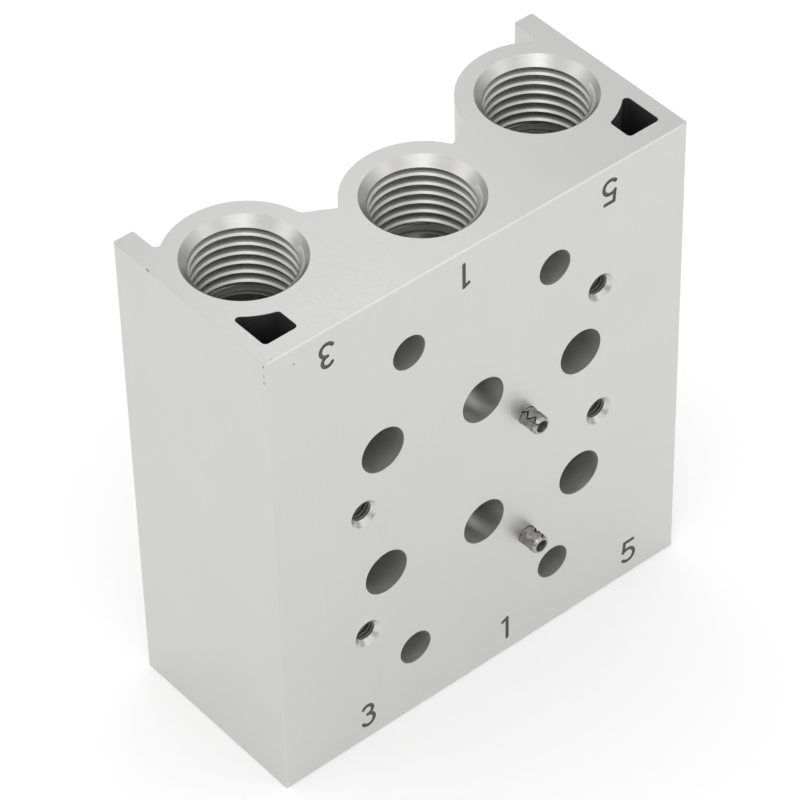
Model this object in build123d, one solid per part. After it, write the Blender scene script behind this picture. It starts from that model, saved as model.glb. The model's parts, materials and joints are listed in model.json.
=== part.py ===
from build123d import *
import math
import os

# Air manifold block for two valves: one length of extruded aluminium bar, cut square and machined.
# Three round channels run along the bar and are tapped at both ends. The flat front is the valve
# face, with the ports, tapped holes and locating pins of each valve station and the holes that
# fix the block to a panel. The back keeps its extruded form: a round boss behind each channel,
# slanted webs between them and a lip along each side.
# Millimetres. The origin is the middle of the valve face. X runs across the block, Y from the
# valve face into the block, and Z along the bar, which stands on its lower end.

# Stations along the bar
station_count = 2
station_pitch = 19.0
end_to_station = 23.5

# Extruded section. The side channels are placed from the sides of the block.
block_width = 60.0
side_channel_from_side = 9.1
lip_back = 26.0
lip_width = 2.75
lip_edge_radius = 0.3
front_edge_radius = 0.8
boss_radius = 9.25
side_channel_depth = 14.8
middle_channel_depth = 9.85
channel_radius = 5.5
web_above_side_axis = 1.65
web_above_middle_axis = 4.45
lip_root_radius = 0.6
web_outer_radius = 0.8
web_inner_radius = 0.4

# Hollow in each front corner of the section, which saves metal
hollow_side_wall = 2.0
hollow_front_wall = 2.4
hollow_width = 4.5
hollow_channel_wall = 4.05
hollow_corner_radius = 0.5

# Tapped ports at both ends of each channel, G 1/4 thread, bored to the tap drill here
port_drill_radius = 5.9
port_drill_depth = 10.0
port_mouth_radius = 7.1

# Break along the edges where the valve face meets the sawn ends
end_edge_break = 0.15

# Holes of one valve station. The side ports stand a little inside the side channels, so that they
# break into them from the side, and the screw holes stand a little outside the side ports.
valve_port_radius = 3.0
side_port_from_channel = 6.4
side_port_shift = 1.5
side_port_drill_depth = 14.0
valve_screw_from_port = 2.9
valve_screw_shift = 6.5
valve_screw_drill_radius = 1.25
valve_screw_drill_depth = 7.0
valve_screw_mouth_radius = 1.85
drill_tip_angle = 118.0

# Through holes for the screws that fix the block to its panel
fixing_hole_radius = 2.25
fixing_hole_offset = 10.5
fixing_hole_from_end = 10.0

# Spring pins that locate each valve: rolled tube with tapered ends and a toothed gap along one side
pin_radius = 1.2
pin_wall = 0.4
pin_length = 6.0
pin_proud = 2.5
pin_end_drop = 0.2
pin_end_taper = 0.4
pin_hole_clearance = 0.01
pin_hole_spare_depth = 0.5
pin_offset = 6.55
pin_drop = 6.4
pin_gap_width = 0.3
pin_tooth_start = 0.2
pin_tooth_pitch = 1.25
pin_tooth_height = 0.75
pin_gap_angles = [124.0, 58.0]

# Values that follow from the sizes above
block_length = (station_count - 1) * station_pitch + 2 * end_to_station
half_length = block_length / 2
half_width = block_width / 2
side_channel_offset = half_width - side_channel_from_side
side_port_offset = side_channel_offset - side_port_from_channel
valve_screw_offset = side_port_offset + valve_screw_from_port
fixing_hole_height = half_length - fixing_hole_from_end
station_heights = [half_length - end_to_station - i * station_pitch for i in range(station_count)]
channels = [
    (-side_channel_offset, side_channel_depth),
    (0.0, middle_channel_depth),
    (side_channel_offset, side_channel_depth),
]
pin_heights = [z - pin_drop for z in station_heights]


def chord(radius, offset):
    """Half the width of a circle, measured at a distance from its centre."""
    return math.sqrt(radius**2 - offset**2)


def nearest_vertices(sketch, points):
    """The vertices of a sketch that lie nearest to the given points."""
    return [sketch.vertices().sort_by_distance(Vector(x, y))[0] for x, y in points]


def mirrored(x, y):
    """A point and its mirror image across the middle of the block."""
    return [(-x, y), (x, y)]


def bored_hole(radius, depth):
    """A blind hole along +Z from the XY plane with a flat end, as a reamer or port cutter leaves."""
    return Pos(0, 0, depth / 2 - radius / 2) * Cylinder(radius, depth + radius)


def drilled_hole(radius, depth):
    """A blind hole along +Z from the XY plane, with the cone that the drill leaves."""
    tip = radius / math.tan(math.radians(drill_tip_angle / 2))
    outline = Polyline((0, -radius), (radius, -radius), (radius, depth), (0, depth + tip), close=True)
    return revolve(Plane.XZ * make_face(outline), Axis.Z)


def mouth_cone(outer_radius, inner_radius):
    """A 90 degree countersink along +Z from the XY plane."""
    reach = outer_radius - inner_radius
    outline = Polyline((0, -reach), (outer_radius + reach, -reach), (0, outer_radius), close=True)
    return revolve(Plane.XZ * make_face(outline), Axis.Z)


def on_valve_face(x, z):
    """A location on the valve face whose Z axis points into the block."""
    return Location(Plane(origin=(x, 0, z), x_dir=(1, 0, 0), z_dir=(0, 1, 0)))


def outer_section():
    """The outline of the bar, from the valve face back to the lips."""
    web_outer = (
        side_channel_offset - chord(boss_radius, web_above_side_axis),
        side_channel_depth + web_above_side_axis,
    )
    web_inner = (
        chord(boss_radius, web_above_middle_axis),
        middle_channel_depth + web_above_middle_axis,
    )
    right_half = Polyline(
        (0, 0),
        (half_width, 0),
        (half_width, side_channel_depth),
        (side_channel_offset, side_channel_depth),
        web_outer,
        web_inner,
        (0, middle_channel_depth),
        close=True,
    )
    core = make_face(right_half)
    lip_centre = Pos(half_width - lip_width / 2, (side_channel_depth + lip_back) / 2)
    core += lip_centre * Rectangle(lip_width, lip_back - side_channel_depth)
    core += mirror(core, about=Plane.YZ)
    for x, y in channels:
        core += Pos(x, y) * Circle(boss_radius)
    core &= Pos(0, lip_back / 2) * Rectangle(2 * half_width, lip_back)
    lip_inner = half_width - lip_width
    lip_root = (lip_inner, side_channel_depth + chord(boss_radius, lip_inner - side_channel_offset))
    roundings = [
        (front_edge_radius, mirrored(half_width, 0)),
        (lip_edge_radius, mirrored(half_width, lip_back) + mirrored(lip_inner, lip_back)),
        (lip_root_radius, mirrored(*lip_root)),
        (web_outer_radius, mirrored(*web_outer)),
        (web_inner_radius, mirrored(*web_inner)),
    ]
    for radius, points in roundings:
        core = fillet(nearest_vertices(core, points), radius)
    return core


def corner_hollow(side):
    """The hollow in one front corner: square to the walls, and curved round the side channel."""
    outer = half_width - hollow_side_wall
    height = side_channel_depth - hollow_front_wall
    centre = Pos(outer - hollow_width / 2, hollow_front_wall + height / 2)
    shape = centre * Rectangle(hollow_width, height)
    shape -= Pos(side_channel_offset, side_channel_depth) * Circle(channel_radius + hollow_channel_wall)
    shape = fillet(shape.vertices(), hollow_corner_radius)
    return shape if side > 0 else mirror(shape, about=Plane.YZ)


def bar():
    """The extruded bar with its channels and corner hollows, cut to length."""
    section = outer_section()
    for x, y in channels:
        section -= Pos(x, y) * Circle(channel_radius)
    for side in (-1, 1):
        section -= corner_hollow(side)
    return extrude(Plane.XY.offset(-half_length) * section, block_length)


def edge_breaks():
    """The wedges filed off along the valve face at both sawn ends."""
    cut = end_edge_break
    outline = Polyline(
        (-cut, half_length - 2 * cut),
        (2 * cut, half_length + cut),
        (-cut, half_length + cut),
        close=True,
    )
    wedge = extrude(Plane.YZ * make_face(outline), 2 * half_width, both=True)
    return [wedge, mirror(wedge, about=Plane.XY)]


def end_ports():
    """The tap drill bore and countersink at both ends of each channel."""
    cutter = bored_hole(port_drill_radius, port_drill_depth)
    cutter += mouth_cone(port_mouth_radius, port_drill_radius)
    tools = []
    for x, y in channels:
        tools.append(Location((x, y, -half_length)) * cutter)
        tools.append(Location((x, y, half_length), (180, 0, 0)) * cutter)
    return tools


def station_holes(z):
    """The ports and tapped holes of the valve station at one height."""
    tools = [on_valve_face(0, z) * Cylinder(valve_port_radius, 2 * middle_channel_depth)]
    side_port = drilled_hole(valve_port_radius, side_port_drill_depth)
    screw_hole = drilled_hole(valve_screw_drill_radius, valve_screw_drill_depth)
    screw_hole += mouth_cone(valve_screw_mouth_radius, valve_screw_drill_radius)
    for side in (-1, 1):
        tools.append(on_valve_face(side * side_port_offset, z - side * side_port_shift) * side_port)
        tools.append(on_valve_face(side * valve_screw_offset, z + side * valve_screw_shift) * screw_hole)
    return tools


def fixing_holes():
    """The four through holes for the panel screws."""
    drill = Cylinder(fixing_hole_radius, 4 * lip_back)
    return [
        on_valve_face(x, z) * drill
        for x in (-fixing_hole_offset, fixing_hole_offset)
        for z in (-fixing_hole_height, fixing_hole_height)
    ]


def pin_holes():
    """The blind holes that the locating pins are pressed into."""
    depth = pin_length - pin_proud + pin_hole_spare_depth
    hole = bored_hole(pin_radius + pin_hole_clearance, depth)
    return [on_valve_face(pin_offset, z) * hole for z in pin_heights]


def manifold_block():
    """The whole machined block."""
    tools = edge_breaks() + end_ports() + fixing_holes() + pin_holes()
    for z in station_heights:
        tools += station_holes(z)
    return bar() - tools


def toothed_gap():
    """A cutter for the gap of a spring pin: a zigzag slot along Z, cut outwards along +X."""
    steps = math.ceil(pin_length / (pin_tooth_pitch / 2)) + 2
    sway = pin_tooth_height / 2
    middle = [
        ((-1) ** i * sway, pin_tooth_start + (i - 1) * pin_tooth_pitch / 2)
        for i in range(steps + 1)
    ]
    left = [(y - pin_gap_width / 2, z) for y, z in middle]
    right = [(y + pin_gap_width / 2, z) for y, z in reversed(middle)]
    slot = make_face(Polyline(*left, *right, close=True))
    return extrude(Plane.YZ * slot, 2 * pin_radius)


def locating_pin(z, gap_angle):
    """A slotted spring pin seated in the valve face, with its gap turned to the given angle."""
    bore = pin_radius - pin_wall
    end_radius = pin_radius - pin_end_drop
    wall = Polyline(
        (bore, 0),
        (end_radius, 0),
        (pin_radius, pin_end_taper),
        (pin_radius, pin_length - pin_end_taper),
        (end_radius, pin_length),
        (bore, pin_length),
        close=True,
    )
    tube = revolve(Plane.XZ * make_face(wall), Axis.Z) - toothed_gap()
    # the seat's X axis is the block's X and its Z axis points out of the valve face
    seat = Plane(origin=(pin_offset, pin_length - pin_proud, z), x_dir=(1, 0, 0), z_dir=(0, -1, 0))
    return Location(seat) * Rot(0, 0, gap_angle) * tube


parts = {"manifold_block": manifold_block()}
for i, z in enumerate(pin_heights):
    parts[f"locating_pin_{i + 1}"] = locating_pin(z, pin_gap_angles[i % len(pin_gap_angles)])

os.makedirs("parts", exist_ok=True)
for name, part in parts.items():
    export_step(part, f"parts/{name}.step")
    print(f"{name}: {len(part.solids())} solid, {part.volume:.1f} mm3")
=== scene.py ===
import json
import math
import random

import bpy
from mathutils import Matrix, Vector


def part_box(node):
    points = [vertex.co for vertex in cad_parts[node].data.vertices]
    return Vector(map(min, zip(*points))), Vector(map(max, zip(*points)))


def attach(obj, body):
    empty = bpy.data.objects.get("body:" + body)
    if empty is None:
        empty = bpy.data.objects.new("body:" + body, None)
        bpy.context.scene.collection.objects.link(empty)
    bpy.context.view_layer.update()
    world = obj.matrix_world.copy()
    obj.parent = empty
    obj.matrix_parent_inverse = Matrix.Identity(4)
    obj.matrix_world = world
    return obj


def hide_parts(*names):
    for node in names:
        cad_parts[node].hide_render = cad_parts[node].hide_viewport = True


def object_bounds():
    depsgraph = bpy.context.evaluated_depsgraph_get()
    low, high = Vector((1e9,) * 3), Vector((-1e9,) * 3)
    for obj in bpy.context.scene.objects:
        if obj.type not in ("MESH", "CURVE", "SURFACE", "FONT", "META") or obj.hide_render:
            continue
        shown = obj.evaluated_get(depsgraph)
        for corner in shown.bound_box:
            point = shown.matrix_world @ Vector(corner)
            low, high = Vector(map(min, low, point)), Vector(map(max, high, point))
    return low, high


# Air manifold block of satin aluminium, standing on one end on a pale studio floor. The block is
# built again here from the same sizes as its solid, with its threads, broken edges, engraved port
# numbers and small nicks, and so are its two spring pins. Lengths are in millimetres, and MM turns
# them into metres.

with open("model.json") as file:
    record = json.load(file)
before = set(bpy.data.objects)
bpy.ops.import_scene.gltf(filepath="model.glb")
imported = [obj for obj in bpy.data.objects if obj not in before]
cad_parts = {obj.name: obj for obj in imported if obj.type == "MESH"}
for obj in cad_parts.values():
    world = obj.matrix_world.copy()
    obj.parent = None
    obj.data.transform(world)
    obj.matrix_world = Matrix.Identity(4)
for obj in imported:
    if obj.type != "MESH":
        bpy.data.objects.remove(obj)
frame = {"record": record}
cad_low, cad_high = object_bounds()
MM = 0.001
mounts = {mount["name"]: mount for mount in frame["record"]["mounts"]}

# Sizes of the extruded section that the frame doesn't state
LIP_WIDTH = 2.75
LIP_EDGE_RADIUS = 0.3
FRONT_EDGE_RADIUS = 0.35
BOSS_RADIUS = 9.25
CHANNEL_RADIUS = 5.5
WEB_ABOVE_SIDE_AXIS = 1.65
WEB_ABOVE_MIDDLE_AXIS = 4.45
LIP_ROOT_RADIUS = 0.6
WEB_OUTER_RADIUS = 0.8
WEB_INNER_RADIUS = 0.4
HOLLOW_SIDE_WALL = 2.0
HOLLOW_FRONT_WALL = 2.4
HOLLOW_WIDTH = 4.5
HOLLOW_CHANNEL_WALL = 4.05
HOLLOW_CORNER_RADIUS = 0.5

# Edges
FRONT_BREAK = 0.15
END_BREAK = 0.03
HOLLOW_BREAK = 0.03
HOLE_BREAK = 0.02

# Tapped ports, G 1/4
PORT_DRILL_DEPTH = 10.0
PORT_FOOT_DEPTH = 9.15
PORT_MOUTH_RADIUS = 7.1
PORT_THREAD = {
    "major": 6.5785, "pitch": 1.337, "flank": 27.5, "root": 0.18, "crest": 0.23,
    "full_depth": 8.6, "end_depth": 9.3, "turns": 9, "steps": 96,
}

# Tapped holes for the valve screws, M3
SCREW_DRILL_DEPTH = 7.0
SCREW_MOUTH_RADIUS = 1.85
SCREW_THREAD = {
    "major": 1.5, "pitch": 0.5, "flank": 30.0, "root": 0.05, "crest": 0.03,
    "full_depth": 5.2, "end_depth": 5.8, "turns": 12, "steps": 40,
}
DRILL_TIP_ANGLE = 118.0

# Spring pins
PIN_WALL = 0.4
PIN_BACK = 3.5
PIN_END_DROP = 0.2
PIN_END_TAPER = 0.4
PIN_TAPER_CURVE = 1.6
PIN_TAPER_STEPS = 4
PIN_STEPS = 56
PIN_HOLE_CLEARANCE = 0.01
PIN_HOLE_SPARE_DEPTH = 0.5
PIN_GAP_WIDTH = 0.3
PIN_TOOTH_START = 0.2
PIN_TOOTH_PITCH = 1.25
PIN_TOOTH_HEIGHT = 0.75
PIN_GAP_ANGLES = {"locating_pin_1": 124.0, "locating_pin_2": 58.0}

# Engraved port numbers, each with the X of its middle. The upper row is upside down, so that it
# reads from the other end.
STROKE_WIDTH = 0.5
STROKE_DEPTH = 0.08
NUMBER_HEIGHT = 3.2
LOWER_NUMBERS = {"3": -17.8, "1": 3.15, "5": 22.7}
UPPER_NUMBERS = {"3": -21.7, "1": -2.35, "5": 18.45}
LOWER_NUMBER_Z = -29.28
UPPER_NUMBER_Z = 29.42

# Nicks: three down the left front edge, one on the valve face, one on the front top edge and one on
# the left top edge. Each has its place, its size and how far it is stretched along X, Y and Z.
NICKS = [
    (-29.98, 0.22, 32.6, 0.08, (1.0, 1.0, 2.4)),
    (-29.98, 0.22, 31.33, 0.07, (1.0, 1.0, 1.6)),
    (-29.98, 0.22, 30.3, 0.08, (1.0, 1.0, 2.6)),
    (-26.15, 0.0, 30.83, 0.12, (1.0, 1.0, 1.0)),
    (-28.8, 0.3, 33.0, 0.06, (1.8, 1.0, 1.0)),
    (-30.0, 19.9, 33.0, 0.12, (1.0, 3.0, 1.0)),
]

# A nick is turned from a list of radii and heights, and then stretched and roughened
NICK_PROFILE = [(0.3, -1.0), (0.8, -0.6), (1.0, 0.1), (0.7, 0.7), (0.2, 1.0)]
NICK_SIDES = 9
NICK_SPREAD = (0.85, 1.15)
NICK_SEED = 7

# How finely curves are stepped
CURVE_TOLERANCE = 0.003
LARGEST_STEP = 9.0
ROUND_STEPS = 96
SMALL_ROUND_STEPS = 64

# How many points a thread's profile has in its root and in all, and how many turns it starts
# outside the hole
ROOT_POINTS = 5
THREAD_ROWS = ROOT_POINTS + 4
LEAD_IN = 1.2

block_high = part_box("manifold_block")[1] / MM
half_width, depth, half_length = block_high.x, block_high.y, block_high.z
lip_inner = half_width - LIP_WIDTH


def place(name):
    """Where a mount is, in millimetres."""
    return Vector(mounts[name]["pos_m"]) / MM


def dim(name, key):
    """One of the sizes that a mount states."""
    return mounts[name]["dims"][key]


def on_face(name):
    """Where a mount's axis crosses the valve face."""
    spot = place(name)
    return Vector((spot.x, 0, spot.z))


channels = [place(f"port_{number}_top").xy for number in "315"]
side_channel, middle_channel = channels[2], channels[1]
INTO_FACE = Vector((0, 1, 0))


# Outlines


def arc(centre, radius, start, end):
    """Points along an arc between two angles in degrees, turning the way that the angles run."""
    finest = math.degrees(2 * math.acos(1 - CURVE_TOLERANCE / radius))
    steps = max(2, math.ceil(abs(end - start) / min(finest, LARGEST_STEP)))
    angles = [math.radians(start + (end - start) * i / steps) for i in range(steps + 1)]
    return [Vector((centre[0] + radius * math.cos(a), centre[1] + radius * math.sin(a))) for a in angles]


def bearing(start, end):
    """The angle in degrees of the direction from one point to another."""
    return math.degrees(math.atan2(end[1] - start[1], end[0] - start[0]))


def crossing(point, direction, centre, radius):
    """Where a line through a point crosses a circle, taking the crossing nearer to the point."""
    offset = point - centre
    along = offset.dot(direction)
    root = math.sqrt(along**2 - offset.length_squared + radius**2)
    return point + direction * min(-along - root, -along + root, key=abs)


def closed(points):
    """A closed outline without points that repeat the one before."""
    return [p for i, p in enumerate(points) if (p - points[i - 1]).length > 1e-4]


def grown(outline, distances):
    """A closed anticlockwise outline moved outwards, each point by its own distance."""
    moved = []
    for i, point in enumerate(outline):
        before = (point - outline[i - 1]).normalized()
        after = (outline[(i + 1) % len(outline)] - point).normalized()
        first = Vector((before.y, -before.x))
        second = Vector((after.y, -after.x))
        moved.append(point + (first + second) * (distances[i] / (1 + first.dot(second))))
    return moved


def bar_outline():
    """The outline of the bar as seen from above, anticlockwise from the right end of the valve face."""
    edge = LIP_EDGE_RADIUS
    web_start = side_channel + Vector((
        -math.sqrt(BOSS_RADIUS**2 - WEB_ABOVE_SIDE_AXIS**2),
        WEB_ABOVE_SIDE_AXIS,
    ))
    web_end = middle_channel + Vector((
        math.sqrt(BOSS_RADIUS**2 - WEB_ABOVE_MIDDLE_AXIS**2),
        WEB_ABOVE_MIDDLE_AXIS,
    ))
    web = (web_end - web_start).normalized()
    away = Vector((web.y, -web.x))
    lip_root = crossing(
        Vector((lip_inner - LIP_ROOT_RADIUS, depth)), Vector((0, -1)),
        side_channel, BOSS_RADIUS + LIP_ROOT_RADIUS,
    )
    outer = crossing(
        web_start + away * WEB_OUTER_RADIUS, web, side_channel, BOSS_RADIUS + WEB_OUTER_RADIUS
    )
    inner = crossing(
        web_end + away * WEB_INNER_RADIUS, web, middle_channel, BOSS_RADIUS + WEB_INNER_RADIUS
    )
    web_side = bearing(away, (0, 0))
    right = [
        *arc((half_width - FRONT_EDGE_RADIUS, FRONT_EDGE_RADIUS), FRONT_EDGE_RADIUS, -90, 0),
        *arc((half_width - edge, depth - edge), edge, 0, 90),
        *arc((lip_inner + edge, depth - edge), edge, 90, 180),
        *arc(lip_root, LIP_ROOT_RADIUS, 0, bearing(lip_root, side_channel)),
        *arc(side_channel, BOSS_RADIUS, bearing(side_channel, lip_root), bearing(side_channel, outer)),
        *arc(outer, WEB_OUTER_RADIUS, bearing(outer, side_channel), web_side),
        *arc(inner, WEB_INNER_RADIUS, web_side, bearing(inner, middle_channel)),
        *arc(middle_channel, BOSS_RADIUS, bearing(middle_channel, inner), 90),
    ]
    left = [Vector((-p.x, p.y)) for p in reversed(right)]
    return closed(right + left)


def hollow_outline():
    """The outline of the hollow in the right front corner, anticlockwise."""
    corner = HOLLOW_CORNER_RADIUS
    wall = CHANNEL_RADIUS + HOLLOW_CHANNEL_WALL
    right = half_width - HOLLOW_SIDE_WALL - corner
    left = half_width - HOLLOW_SIDE_WALL - HOLLOW_WIDTH + corner
    front = HOLLOW_FRONT_WALL + corner
    down = Vector((0, -1))
    right_top = crossing(Vector((right, front)), down, side_channel, wall + corner)
    left_top = crossing(Vector((left, front)), down, side_channel, wall + corner)
    return closed([
        *arc((left, front), corner, 180, 270),
        *arc((right, front), corner, 270, 360),
        *arc(right_top, corner, 0, bearing(right_top, side_channel)),
        *arc(side_channel, wall, bearing(side_channel, right_top), bearing(side_channel, left_top)),
        *arc(left_top, corner, bearing(left_top, side_channel), 180),
    ])


# Closed solids, each a list of points and a list of faces that look outwards


def stacked(rings):
    """The solid through a stack of rings that all have as many points."""
    count = len(rings[0])
    points = [Vector(p) for ring in rings for p in ring]
    faces = []
    for base in range(0, len(points) - count, count):
        for i in range(count):
            j = (i + 1) % count
            faces.append((base + i, base + j, base + count + j, base + count + i))
    faces.append(tuple(reversed(range(count))))
    faces.append(tuple(range(len(points) - count, len(points))))
    return points, faces


def upright(outline, height):
    """An outline as a ring at one height."""
    return [(p.x, p.y, height) for p in outline]


def turned(profile, steps=ROUND_STEPS):
    """The solid of revolution round Z through a list of radii and heights."""
    angles = [2 * math.pi * i / steps for i in range(steps)]
    return stacked([[(r * math.cos(a), r * math.sin(a), z) for a in angles] for r, z in profile])


def sunk(solid, at, direction):
    """A solid moved so that its Z axis starts at a point and runs along a direction."""
    move = Matrix.Translation(at) @ Vector(direction).to_track_quat("Z", "Y").to_matrix().to_4x4()
    points, faces = solid
    return [move @ p for p in points], faces


def bar():
    """The bar, with its edges broken at both ends, a little more along the valve face."""
    outline = bar_outline()
    breaks = [FRONT_BREAK if p.y < 1e-3 else END_BREAK for p in outline]
    inset = grown(outline, [-cut for cut in breaks])
    ends = [
        upright(inset, half_length),
        [(p.x, p.y, half_length - cut) for p, cut in zip(outline, breaks)],
    ]
    lower = [[(x, y, -z) for x, y, z in ring] for ring in ends]
    return stacked(lower + ends[::-1])


def hollow():
    """The right front hollow, with its edges broken at both ends."""
    outline = hollow_outline()
    over = 0.5
    heights = [(half_length + over, HOLLOW_BREAK + over), (half_length - HOLLOW_BREAK, 0.0)]
    rings = [upright(grown(outline, [g] * len(outline)), z) for z, g in heights]
    lower = [[(x, y, -z) for x, y, z in ring] for ring in rings]
    return stacked(lower + rings[::-1])


def mirrored(solid):
    """A solid mirrored across the middle of the block."""
    points, faces = solid
    return [Vector((-p.x, p.y, p.z)) for p in points], [tuple(reversed(face)) for face in faces]


def hole(radius, length, tip_angle=None, steps=ROUND_STEPS, foot=None, edge=HOLE_BREAK):
    """A drilled hole along +Z with its mouth broken by edge, and a drill's tip or a flat end. Its
    wall is divided at the depth where its foot starts."""
    over = 0.6
    profile = [(radius + edge + over, -over), (radius, edge)] if edge else [(radius, -over)]
    if foot:
        profile.append((radius, foot))
    profile.append((radius, length))
    if tip_angle:
        blunt = 0.02
        profile.append((blunt, length + (radius - blunt) / math.tan(math.radians(tip_angle / 2))))
    return turned(profile, steps)


def countersink(radius, drill, steps=ROUND_STEPS):
    """A 90 degree countersink along +Z, which ends inside a drilled hole."""
    over, inside = 0.6, 0.2
    return turned([(radius + over, -over), (drill - inside, radius - drill + inside)], steps)


def thread(drill, major, pitch, flank, root, crest, full_depth, end_depth, turns, steps):
    """The right-hand helical groove that a tap cuts round a drilled hole along +Z, as a closed
    solid. Its rows follow the helix, its crests are bevelled at 45 degrees, and it runs out at the
    depth where the tap's lead ends."""
    slope = math.tan(math.radians(flank))
    root_centre = major - root
    apex = root_centre + root / math.sin(math.radians(flank))
    low = drill - crest / 5
    top = drill + crest
    half_top = (apex - top) * slope
    half_low = half_top + top - low
    bend = 90 - flank
    curve = [math.radians(bend * (2 * i / (ROOT_POINTS - 1) - 1)) for i in range(ROOT_POINTS)]
    row = [(-half_low, low), (-half_top, top)]
    row += [(root * math.sin(a), root_centre + root * math.cos(a)) for a in curve]
    row += [(half_top, top), (half_low, low)]
    rows = THREAD_ROWS
    start = -LEAD_IN * pitch
    points = []
    for i in range(steps):
        angle = 2 * math.pi * i / steps
        for j in range(turns * rows):
            across, radius = row[j % rows]
            z = start + (j // rows + i / steps) * pitch + across
            runout = (end_depth - z) / (end_depth - full_depth)
            radius = min(radius, low + (major - low) * max(0.0, runout))
            points.append(Vector((radius * math.cos(angle), radius * math.sin(angle), z)))
    column = turns * rows
    last = steps - 1

    def at(i, j):
        """The number of a point. One step past the last column is the first, a turn further on."""
        return i * column + j if i < steps else j + rows

    faces = [
        (at(i, j), at(i + 1, j), at(i + 1, j + 1), at(i, j + 1))
        for i in range(steps)
        for j in range(column - 1 - (rows if i == last else 0))
    ]
    inner_end = [at(i, 0) for i in range(steps)] + [at(0, j) for j in range(rows, 0, -1)]
    outer_end = [at(i, column - 1) for i in range(steps)]
    outer_end += [at(last, j) for j in range(column - 2, column - 2 - rows, -1)]
    for loop, order in ((inner_end, (1, 0)), (outer_end, (0, 1))):
        middle = sum((points[n].z for n in loop)) / len(loop)
        points.append(Vector((0, 0, middle)))
        for n in range(len(loop)):
            pair = (loop[n], loop[(n + 1) % len(loop)])
            faces.append((pair[order[0]], pair[order[1]], len(points) - 1))
    return points, faces


def thread_finish(solid, mouth, foot, groove, crest):
    """A finish for each face of a thread. Its crests keep the lighter metal down to the foot of the hole,
    and so does all of it that lies in the mouth. The rest, the grooves, is painted dark as painted shade."""
    points, faces = solid
    last = THREAD_ROWS - 1
    crests = (frozenset((0, 1)), frozenset((last - 1, last)))
    return [
        crest if points[face[0]].z < mouth
        or (points[face[0]].z < foot and frozenset(n % THREAD_ROWS for n in face) in crests)
        else groove
        for face in faces
    ]


def stroke(line, at, turn):
    """A groove along a line drawn on the valve face, with round ends, turned by an angle there."""
    half = STROKE_WIDTH / 2
    sides = []
    for direction in (line, line[::-1]):
        for i, point in enumerate(direction):
            before = (point - direction[i - 1]).normalized() if i else None
            after = (direction[i + 1] - point).normalized() if i + 1 < len(direction) else None
            first = Vector(((before or after).y, -(before or after).x))
            second = Vector(((after or before).y, -(after or before).x))
            sides.append(point + (first + second) * (half / (1 + first.dot(second))))
        end = direction[-1]
        angle = bearing((0, 0), direction[-1] - direction[-2])
        sides += arc(end, half, angle - 90, angle + 90)[1:-1]
    face = Matrix.Translation(at) @ Matrix.Rotation(math.pi / 2, 4, "X")
    face = face @ Matrix.Rotation(math.radians(turn), 4, "Z")
    narrow = grown(sides, [-STROKE_DEPTH / 2] * len(sides))
    rings = [
        upright(narrow, -STROKE_DEPTH),
        upright(sides, -STROKE_DEPTH / 2),
        upright(sides, STROKE_DEPTH),
    ]
    points, faces = stacked(rings)
    return [face @ p for p in points], faces


def number_strokes(digit):
    """The two lines that draw a port number round its own middle."""
    top = NUMBER_HEIGHT / 2
    if digit == "1":
        stem, flag_start, flag_end = 0.3, (0.3, top - 0.02), (-0.35, top - 0.32)
        return [
            [Vector((stem, top)), Vector((stem, -top))],
            [Vector(flag_start), Vector(flag_end)],
        ]
    if digit == "3":
        upper, lower, upper_shift, opening = 0.72, 0.88, -0.05, 150
        return [
            arc((upper_shift, top - upper), upper, opening, -90),
            arc((0, -top + lower), lower, 90, -opening),
        ]
    bar_end, corner, neck = (0.68, top), (-0.64, top), (-0.78, 0.1)
    bowl, bowl_shift, bowl_start, bowl_end = 0.98, -0.1, 137, -140
    return [
        [Vector(bar_end), Vector(corner), Vector(neck)],
        arc((bowl_shift, -top + bowl), bowl, bowl_start, bowl_end),
    ]


# Blender objects


def new_object(name, solids):
    """One mesh object from a list of solids, each with one material or one for each face."""
    points, faces, numbers, materials = [], [], [], []
    for (solid_points, solid_faces), finish in solids:
        finishes = finish if isinstance(finish, list) else [finish] * len(solid_faces)
        for material in finishes:
            if material not in materials:
                materials.append(material)
        start = len(points)
        points += [p * MM for p in solid_points]
        faces += [[start + n for n in face] for face in solid_faces]
        numbers += [materials.index(material) for material in finishes]
    mesh = bpy.data.meshes.new(name)
    mesh.from_pydata(points, [], faces)
    for material in materials:
        mesh.materials.append(material)
    mesh.polygons.foreach_set("material_index", numbers)
    thing = bpy.data.objects.new(name, mesh)
    bpy.context.scene.collection.objects.link(thing)
    return thing


def settle(thing):
    """Replaces an object's mesh by the one that its modifiers make."""
    graph = bpy.context.evaluated_depsgraph_get()
    made = bpy.data.meshes.new_from_object(
        thing.evaluated_get(graph), preserve_all_data_layers=True, depsgraph=graph
    )
    old, thing.data = thing.data, made
    thing.modifiers.clear()
    bpy.data.meshes.remove(old)
    made.name = thing.name


def carve(thing, name, solids):
    """Cuts solids that don't meet each other out of an object. Cut faces keep the solid's material."""
    tool = new_object(name, solids)
    cut = thing.modifiers.new(name, "BOOLEAN")
    cut.operation = "DIFFERENCE"
    cut.solver = "MANIFOLD"
    cut.material_mode = "TRANSFER"
    cut.object = tool
    settle(thing)
    bpy.data.objects.remove(tool)


def shade(thing, sharp_angle):
    """Smooth shading with sharp edges, where large flat faces keep their own direction."""
    thing.data.shade_smooth()
    thing.data.set_sharp_from_angle(angle=math.radians(sharp_angle))
    weigh = thing.modifiers.new("weighted normals", "WEIGHTED_NORMAL")
    weigh.keep_sharp = True
    settle(thing)


# Materials


# The range that noise is taken to fill, and how much detail and roughness the marks have
NOISE_LOW, NOISE_HIGH = 0.25, 0.75
MARK_DETAIL, PATCH_DETAIL = 3.0, 2.0
ROUGHNESS_SPREAD = 0.05


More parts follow.
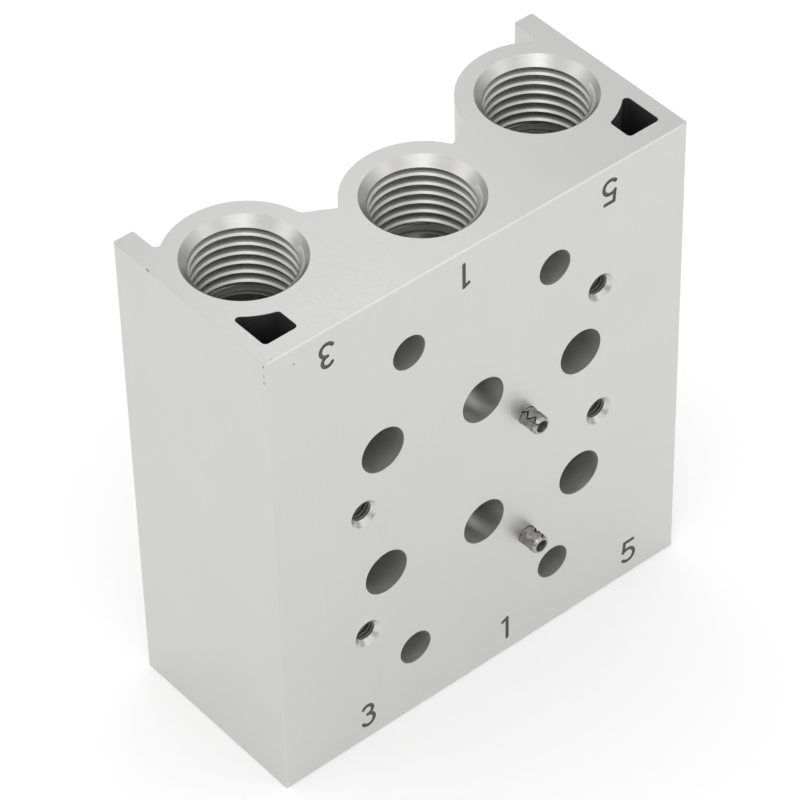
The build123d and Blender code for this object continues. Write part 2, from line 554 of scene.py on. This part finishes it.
def metal(name, colour, roughness, grain, tone=0.03, mark_depth=0.001, cloud=9.0):
    """A metal with fine marks. grain is the size of the marks along X, Y and Z, tone is how much
    they lighten and darken it, mark_depth is how deep they are, and cloud is the size of the soft
    patches under them."""
    material = bpy.data.materials.new(name)
    material.use_nodes = True
    nodes, links = material.node_tree.nodes, material.node_tree.links
    shader = nodes["Principled BSDF"]
    shader.inputs["Metallic"].default_value = 1.0
    where = nodes.new("ShaderNodeTexCoord")

    def noise(size, detail):
        """Noise whose features have a size along X, Y and Z."""
        stretch = nodes.new("ShaderNodeMapping")
        stretch.inputs["Scale"].default_value = [1 / (s * MM) for s in size]
        links.new(where.outputs["Object"], stretch.inputs["Vector"])
        texture = nodes.new("ShaderNodeTexNoise")
        texture.inputs["Scale"].default_value = 1.0
        texture.inputs["Detail"].default_value = detail
        links.new(stretch.outputs["Vector"], texture.inputs["Vector"])
        return texture.outputs["Fac"]

    def ranged(value, low, high):
        """Noise spread from a low to a high value."""
        remap = nodes.new("ShaderNodeMapRange")
        remap.inputs["From Min"].default_value = NOISE_LOW
        remap.inputs["From Max"].default_value = NOISE_HIGH
        remap.inputs["To Min"].default_value = low
        remap.inputs["To Max"].default_value = high
        links.new(value, remap.inputs["Value"])
        return remap.outputs["Result"]

    marks = noise(grain, MARK_DETAIL)
    patches = noise([cloud] * 3, PATCH_DETAIL)
    both = nodes.new("ShaderNodeMath")
    both.operation = "ADD"
    links.new(ranged(marks, -tone, tone), both.inputs[0])
    links.new(ranged(patches, 1 - tone / 2, 1 + tone / 2), both.inputs[1])
    tint = nodes.new("ShaderNodeVectorMath")
    tint.operation = "SCALE"
    tint.inputs[0].default_value = colour
    links.new(both.outputs["Value"], tint.inputs["Scale"])
    links.new(tint.outputs["Vector"], shader.inputs["Base Color"])
    rough = ranged(marks, roughness - ROUGHNESS_SPREAD, roughness + ROUGHNESS_SPREAD)
    links.new(rough, shader.inputs["Roughness"])
    bump = nodes.new("ShaderNodeBump")
    bump.inputs["Strength"].default_value = 1.0
    bump.inputs["Distance"].default_value = mark_depth * MM
    links.new(marks, bump.inputs["Height"])
    links.new(bump.outputs["Normal"], shader.inputs["Normal"])
    return material


ALUMINIUM = (0.65, 0.65, 0.64)
milled_face = metal("milled_face", ALUMINIUM, 0.42, (0.3, 1.0, 14.0), tone=0.02)
extruded = metal("extruded_surface", ALUMINIUM, 0.46, (0.25, 0.25, 25.0), tone=0.02)
# painted shade: the end faces are coloured darker than the sides, against the light of the top lamp
sawn_end = metal("sawn_end", (0.568, 0.565, 0.562), 0.42, (0.5, 0.5, 0.5), tone=0.02)
filed_edge = metal("filed_edge", (0.6, 0.6, 0.59), 0.26, (0.3, 0.3, 0.3), tone=0.06)
turned_port = metal(
    "turned_port", (0.575, 0.571, 0.563), 0.3, (4.0, 4.0, 0.12), tone=0.06, mark_depth=0.003
)
bored_wall = metal("bored_wall", (0.6, 0.6, 0.59), 0.42, (0.6, 0.6, 0.1), tone=0.1, mark_depth=0.003)
# painted shade: the grooves of the port threads are coloured dark grey
cut_thread = metal("cut_thread", (0.26, 0.26, 0.25), 0.42, (0.3, 0.3, 0.08), tone=0.2, mark_depth=0.003)
port_foot = metal("port_foot", (0.8, 0.8, 0.78), 0.55, (0.6, 0.6, 0.2), tone=0.05)
# painted shade: the ledge deep in each port is coloured dark
port_ledge = metal("port_ledge", (0.2, 0.2, 0.2), 0.6, (0.6, 0.6, 0.6), tone=0.02)
screw_mouth = metal("screw_mouth", (0.62, 0.62, 0.61), 0.32, (0.5, 0.06, 0.5), tone=0.1, mark_depth=0.002)
# painted shade: the walls and threads inside the screw holes are coloured dark grey
screw_wall = metal("screw_wall", (0.25, 0.25, 0.24), 0.6, (0.3, 0.06, 0.3), tone=0.1, mark_depth=0.002)
drilled = metal("drilled_hole", (0.79, 0.79, 0.775), 0.42, (1.2, 0.2, 1.2), tone=0.06, mark_depth=0.002)
rough_drilled = metal("rough_drilled_hole", (0.56, 0.558, 0.55), 0.6, (1.2, 0.2, 1.2), tone=0.06)
raw_channel = metal("raw_channel", (0.8, 0.8, 0.78), 0.32, (0.3, 0.3, 12.0), tone=0.05)
# painted shade: the inside of the corner hollows is coloured near black
raw_hollow = metal("raw_hollow", (0.25, 0.25, 0.25), 0.5, (0.3, 0.3, 12.0), tone=0.03)
number_fill = metal("number_fill", (0.13, 0.13, 0.128), 0.55, (0.2, 0.2, 0.2), tone=0.01)
# painted shade: the nicks are coloured darker than the metal round them
nick_painted_shade = metal("nick", (0.32, 0.32, 0.31), 0.5, (0.1, 0.1, 0.1), tone=0.03)
pin_steel = metal("pin_steel", (0.34, 0.335, 0.33), 0.2, (0.25, 1.6, 0.25), tone=0.3, cloud=0.8)
# painted highlight: the taper at a pin's free end is coloured lighter than its body
pin_tip = metal("pin_tip", (0.4, 0.4, 0.39), 0.22, (0.2, 0.2, 0.2), tone=0.15, cloud=0.8)
# painted light: the inside of a pin's bore is coloured much lighter than its body, against its shade
pin_bore = metal("pin_bore", (0.6, 0.6, 0.58), 0.4, (0.3, 1.6, 0.3), tone=0.1)


# The block


def nicks():
    """Small dents left by handling, as shallow lens shapes sunk at the listed spots, in painted shade."""
    draw = random.Random(NICK_SEED)
    solids = []
    for x, y, z, size, stretch in NICKS:
        points, faces = turned(NICK_PROFILE, NICK_SIDES)
        spin = Matrix.Rotation(draw.uniform(0, math.pi), 3, "Z")
        long = Vector(stretch)
        dent = [
            Vector((x, y, z)) + (spin @ p) * long * size * draw.uniform(*NICK_SPREAD)
            for p in points
        ]
        solids.append(((dent, faces), nick_painted_shade))
    return solids


def bar_finish(normal):
    """The finish of a face of the bar, told by its direction."""
    if normal.y < -0.999:
        return milled_face
    if normal.y < -0.5 and abs(normal.z) > 0.5:
        return filed_edge
    # painted shade: the end faces take a darker copy of the aluminium
    if abs(normal.z) > 0.01:
        return sawn_end
    return extruded


def cut_channels(block):
    """The three channels and the two corner hollows, which run through the whole bar."""
    over = 1.0
    base = Vector((0, 0, -half_length - over))
    tool = turned([(CHANNEL_RADIUS, 0), (CHANNEL_RADIUS, 2 * (half_length + over))])
    carve(block, "channels", [
        (sunk(tool, base + channel.to_3d(), (0, 0, 1)), raw_channel) for channel in channels
    ])
    carve(block, "hollows", [(hollow(), raw_hollow), (mirrored(hollow()), raw_hollow)])


def cut_end_ports(block):
    """The bore, countersink and thread at both ends of each channel."""
    # the bore's faces are two rings of wall, the ring at its foot, its outer cap and its ledge in painted
    # shade
    bore_finishes = [bored_wall] * (2 * ROUND_STEPS) + [port_foot] * (ROUND_STEPS + 1) + [port_ledge]
    bores, mouths, taps = [], [], []
    for number, channel in zip("315", channels):
        drill = dim(f"port_{number}_top", "r_mm")
        bore = hole(drill, PORT_DRILL_DEPTH, foot=PORT_FOOT_DEPTH)
        mouth = countersink(PORT_MOUTH_RADIUS, drill)
        mouth_depth = PORT_MOUTH_RADIUS - drill
        tap = thread(drill, **PORT_THREAD)
        tap_finishes = thread_finish(tap, mouth_depth, PORT_FOOT_DEPTH, cut_thread, bored_wall)
        for end in (1, -1):
            at = Vector((channel.x, channel.y, end * half_length))
            inwards = (0, 0, -end)
            bores.append((sunk(bore, at, inwards), bore_finishes))
            mouths.append((sunk(mouth, at, inwards), turned_port))
            taps.append((sunk(tap, at, inwards), tap_finishes))
    carve(block, "ports", bores)
    carve(block, "port mouths", mouths)
    carve(block, "port threads", taps)


def cut_valve_ports(block):
    """The ports of both valve stations. The middle ones end at the axis of their channel."""
    ports = []
    for name in mounts:
        if name.startswith("valve_port"):
            middle = "_1_" in name
            length = middle_channel.y if middle else dim(name, "length_mm")
            drill = hole(dim(name, "r_mm"), length, None if middle else DRILL_TIP_ANGLE)
            finish = drilled if middle else rough_drilled
            ports.append((sunk(drill, on_face(name), INTO_FACE), finish))
    carve(block, "valve ports", ports)


def cut_fixing_holes(block):
    """The four holes right through the block for the screws that fix it to a panel."""
    over = 1.0
    drill = hole(dim("panel_screws", "hole_r_mm"), depth + over)
    across = dim("panel_screws", "spacing_x_mm") / 2
    along = dim("panel_screws", "spacing_y_mm") / 2
    corners = [(x, 0, z) for x in (-across, across) for z in (-along, along)]
    carve(block, "fixing holes", [(sunk(drill, at, INTO_FACE), rough_drilled) for at in corners])


def cut_screw_holes(block):
    """The drilled hole, countersink and thread for each of the valve screws."""
    spots = []
    for name in ("valve_screws_left", "valve_screws_right"):
        middle = place(name)
        reach = dim(name, "spacing_y_mm") / 2
        spots += [(middle.x, 0, middle.z - reach), (middle.x, 0, middle.z + reach)]
    radius = dim("valve_screws_left", "hole_r_mm")
    drill = hole(radius, SCREW_DRILL_DEPTH, DRILL_TIP_ANGLE, SMALL_ROUND_STEPS)
    mouth = countersink(SCREW_MOUTH_RADIUS, radius, SMALL_ROUND_STEPS)
    tap = thread(radius, **SCREW_THREAD)
    # the hole walls and threads are painted dark, as painted shade
    tools = {
        "screw holes": (drill, screw_wall),
        "screw mouths": (mouth, screw_mouth),
        "screw threads": (tap, screw_wall),
    }
    for name, (tool, finish) in tools.items():
        carve(block, name, [(sunk(tool, at, INTO_FACE), finish) for at in spots])


def cut_pin_holes(block):
    """The blind holes that the pins are pressed into."""
    seats = []
    for name in PIN_GAP_ANGLES:
        mount = f"{name}_end"
        radius = dim(mount, "r_mm") + PIN_HOLE_CLEARANCE
        seat = hole(radius, PIN_BACK + PIN_HOLE_SPARE_DEPTH, steps=SMALL_ROUND_STEPS, edge=0)
        seats.append((sunk(seat, on_face(mount), INTO_FACE), drilled))
    carve(block, "pin holes", seats)


def engrave_numbers(block):
    """Both rows of port numbers. The two lines of each number meet, so they take a cut each."""
    for part in (0, 1):
        lines = []
        for row, z, turn in ((LOWER_NUMBERS, LOWER_NUMBER_Z, 0), (UPPER_NUMBERS, UPPER_NUMBER_Z, 180)):
            for digit, x in row.items():
                line = number_strokes(digit)[part]
                lines.append((stroke(line, Vector((x, 0, z)), turn), number_fill))
        carve(block, f"number strokes {part}", lines)


def make_block():
    """The bar, with one kind of hole after another cut out of it."""
    block = new_object("machined_block", [(bar(), extruded)])
    finishes = [extruded, milled_face, sawn_end, filed_edge]
    for finish in finishes[1:]:
        block.data.materials.append(finish)
    for face in block.data.polygons:
        face.material_index = finishes.index(bar_finish(face.normal))
    cut_channels(block)
    cut_end_ports(block)
    cut_valve_ports(block)
    cut_fixing_holes(block)
    cut_screw_holes(block)
    cut_pin_holes(block)
    engrave_numbers(block)
    carve(block, "nicks", nicks())
    shade(block, sharp_angle=25)
    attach(block, "root")
    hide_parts("manifold_block")


# The pins


def spring_pin(radius, proud):
    """A rolled spring pin along +Z, from its seat to its free end, with a toothed gap along +X."""
    inner = radius - PIN_WALL
    length = proud + PIN_BACK
    tooth = PIN_TOOTH_PITCH / 2
    heights = [PIN_TOOTH_START + tooth * i for i in range(math.ceil(length / tooth))]
    for i in range(PIN_TAPER_STEPS + 1):
        from_end = PIN_END_TAPER * i / PIN_TAPER_STEPS
        heights += [from_end, length - from_end]
    rings = []
    for z in sorted(set(height for height in heights if height <= length)):
        swing = 1 - 2 * abs(((z - PIN_TOOTH_START) / tooth) % 2 - 1)
        middle = swing * PIN_TOOTH_HEIGHT / 2 / radius
        gap = PIN_GAP_WIDTH / 2 / radius
        short = max(0.0, 1 - min(z, length - z) / PIN_END_TAPER)
        outer = radius - PIN_END_DROP * short**PIN_TAPER_CURVE
        turn = 2 * math.pi - 2 * gap
        angles = [middle + gap + turn * i / PIN_STEPS for i in range(PIN_STEPS + 1)]
        ring = [(outer * math.cos(a), outer * math.sin(a), z) for a in angles]
        ring += [(inner * math.cos(a), inner * math.sin(a), z) for a in reversed(angles)]
        rings.append(ring)
    return stacked(rings)


def make_pins():
    """Both pins, each painted lighter in its bore, as painted light, and on the taper at its free end, as
    a painted highlight.
    """
    for name, gap_angle in PIN_GAP_ANGLES.items():
        mount = f"{name}_end"
        spot = place(mount)
        points, faces = spring_pin(dim(mount, "r_mm"), dim(mount, "length_mm"))
        seat = Matrix.Translation((spot.x, PIN_BACK, spot.z)) @ Matrix.Rotation(math.pi / 2, 4, "X")
        seat = seat @ Matrix.Rotation(math.radians(gap_angle), 4, "Z")
        slack = 0.01
        shoulder = dim(mount, "length_mm") + PIN_BACK - PIN_END_TAPER - slack
        inside = dim(mount, "r_mm") - PIN_WALL + slack
        finishes = []
        for face in faces:
            if max(points[n].xy.length for n in face) < inside:
                finishes.append(pin_bore)
            elif min(points[n].z for n in face) > shoulder:
                finishes.append(pin_tip)
            else:
                finishes.append(pin_steel)
        pin = new_object(f"spring_pin_{name[-1]}", [(([seat @ p for p in points], faces), finishes)])
        shade(pin, sharp_angle=30)
        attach(pin, "root")
        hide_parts(name)


make_block()
make_pins()


# Studio

# The camera, in millimetres and degrees
CAMERA_PLACE = Vector((-223.19, -259.29, 331.47))
CAMERA_AIM = Vector((-0.70, 13.79, 0.18))
CAMERA_ROLL = 1.396
CAMERA_LENS = 190.58
CAMERA_SENSOR = 36

# The room: its light, its wall, and the angles above the horizon where the wall starts to turn
# white and where it is white
WHITE = (1, 1, 1, 1)
LIGHT_LEVEL = 0.9
WALL_LEVEL = 0.4
WALL_TOP = 12.0
WHITE_FROM = 27.0

# The floor, in metres. It lies a little below the block.
FLOOR_SIZE = 6.0
FLOOR_DROP = 0.00005
FLOOR_COLOUR = (0.9, 0.9, 0.9, 1)
FLOOR_ROUGHNESS = 0.9
FLOOR_GLOW = 0.17


def seen_rays(nodes, links):
    """1 for what the camera sees, directly, in metal or through glass."""
    path = nodes.new("ShaderNodeLightPath")
    total = path.outputs["Is Camera Ray"]
    for ray in ("Is Glossy Ray", "Is Transmission Ray"):
        either = nodes.new("ShaderNodeMath")
        either.operation = "MAXIMUM"
        links.new(total, either.inputs[0])
        links.new(path.outputs[ray], either.inputs[1])
        total = either.outputs["Value"]
    return total


def make_world():
    """Even white light. What is seen of the room is a white tent above a light grey wall."""
    world = bpy.data.worlds.new("studio")
    bpy.context.scene.world = world
    world.use_nodes = True
    nodes, links = world.node_tree.nodes, world.node_tree.links
    light = nodes["Background"]
    light.inputs["Color"].default_value = WHITE
    light.inputs["Strength"].default_value = LIGHT_LEVEL
    backdrop = nodes.new("ShaderNodeBackground")
    backdrop.inputs["Color"].default_value = WHITE
    direction = nodes.new("ShaderNodeTexCoord")
    split = nodes.new("ShaderNodeSeparateXYZ")
    links.new(direction.outputs["Generated"], split.inputs["Vector"])
    rise = nodes.new("ShaderNodeMapRange")
    rise.inputs["From Min"].default_value = math.sin(math.radians(WALL_TOP))
    rise.inputs["From Max"].default_value = math.sin(math.radians(WHITE_FROM))
    rise.inputs["To Min"].default_value = WALL_LEVEL
    rise.inputs["To Max"].default_value = 1.0
    links.new(split.outputs["Z"], rise.inputs["Value"])
    links.new(rise.outputs["Result"], backdrop.inputs["Strength"])
    mix = nodes.new("ShaderNodeMixShader")
    links.new(seen_rays(nodes, links), mix.inputs["Fac"])
    links.new(light.outputs["Background"], mix.inputs[1])
    links.new(backdrop.outputs["Background"], mix.inputs[2])
    links.new(mix.outputs["Shader"], nodes["World Output"].inputs["Surface"])


def make_floor():
    """A pale floor, which is clear when it is seen from below."""
    half = FLOOR_SIZE / 2
    height = cad_low.z - FLOOR_DROP
    mesh = bpy.data.meshes.new("floor")
    corners = [(-half, -half, height), (half, -half, height), (half, half, height), (-half, half, height)]
    mesh.from_pydata(corners, [], [(0, 1, 2, 3)])
    floor = bpy.data.objects.new("floor", mesh)
    bpy.context.scene.collection.objects.link(floor)
    material = bpy.data.materials.new("studio_floor")
    material.use_nodes = True
    nodes, links = material.node_tree.nodes, material.node_tree.links
    shader = nodes["Principled BSDF"]
    shader.inputs["Base Color"].default_value = FLOOR_COLOUR
    shader.inputs["Roughness"].default_value = FLOOR_ROUGHNESS
    shader.inputs["Specular IOR Level"].default_value = 0.0
    glow = nodes.new("ShaderNodeEmission")
    lift = nodes.new("ShaderNodeMath")
    lift.operation = "MULTIPLY"
    lift.inputs[1].default_value = FLOOR_GLOW
    links.new(seen_rays(nodes, links), lift.inputs[0])
    links.new(lift.outputs["Value"], glow.inputs["Strength"])
    both = nodes.new("ShaderNodeAddShader")
    links.new(shader.outputs["BSDF"], both.inputs[0])
    links.new(glow.outputs["Emission"], both.inputs[1])
    side = nodes.new("ShaderNodeNewGeometry")
    clear = nodes.new("ShaderNodeBsdfTransparent")
    one_way = nodes.new("ShaderNodeMixShader")
    links.new(side.outputs["Backfacing"], one_way.inputs["Fac"])
    links.new(both.outputs["Shader"], one_way.inputs[1])
    links.new(clear.outputs["BSDF"], one_way.inputs[2])
    links.new(one_way.outputs["Shader"], nodes["Material Output"].inputs["Surface"])
    mesh.materials.append(material)


def make_lamp(name, azimuth, elevation, distance, width, height, radiance):
    """A soft lamp aimed at the block, with its sizes in metres. Azimuth 0 is in front of the block,
    and 90 is at its right."""
    a, e = math.radians(azimuth), math.radians(elevation)
    away = Vector((math.sin(a) * math.cos(e), -math.cos(a) * math.cos(e), math.sin(e)))
    data = bpy.data.lights.new(name, "AREA")
    data.shape = "RECTANGLE"
    data.size = width
    data.size_y = height
    data.energy = radiance * math.pi * width * height
    lamp = bpy.data.objects.new(name, data)
    lamp.location = away * distance
    lamp.rotation_euler = (-away).to_track_quat("-Z", "Y").to_euler()
    lamp.visible_camera = False
    bpy.context.scene.collection.objects.link(lamp)


def make_camera():
    """A long lens that looks down at the block from the front left."""
    data = bpy.data.cameras.new("camera")
    data.sensor_width = CAMERA_SENSOR
    data.lens = CAMERA_LENS
    camera = bpy.data.objects.new("camera", data)
    camera.location = CAMERA_PLACE * MM
    look = (CAMERA_AIM - CAMERA_PLACE).to_track_quat("-Z", "Y").to_matrix()
    camera.rotation_euler = (look @ Matrix.Rotation(math.radians(-CAMERA_ROLL), 3, "Z")).to_euler()
    bpy.context.scene.collection.objects.link(camera)
    bpy.context.scene.camera = camera


make_world()
make_floor()
make_lamp("key_lamp", 34, 36, 0.8, 0.3, 0.25, 0.45)
make_lamp("front_lamp", -30, 46, 0.8, 0.5, 0.3, 0.45)
make_lamp("high_lamp", -50, 66, 0.8, 0.24, 0.24, 2.2)
make_lamp("back_lamp", -120, 32, 0.8, 0.4, 0.3, 0.5)
make_lamp("top_lamp", 150, 58, 0.16, 0.05, 0.05, 0.9)
make_camera()
bpy.context.scene.view_settings.view_transform = "Standard"
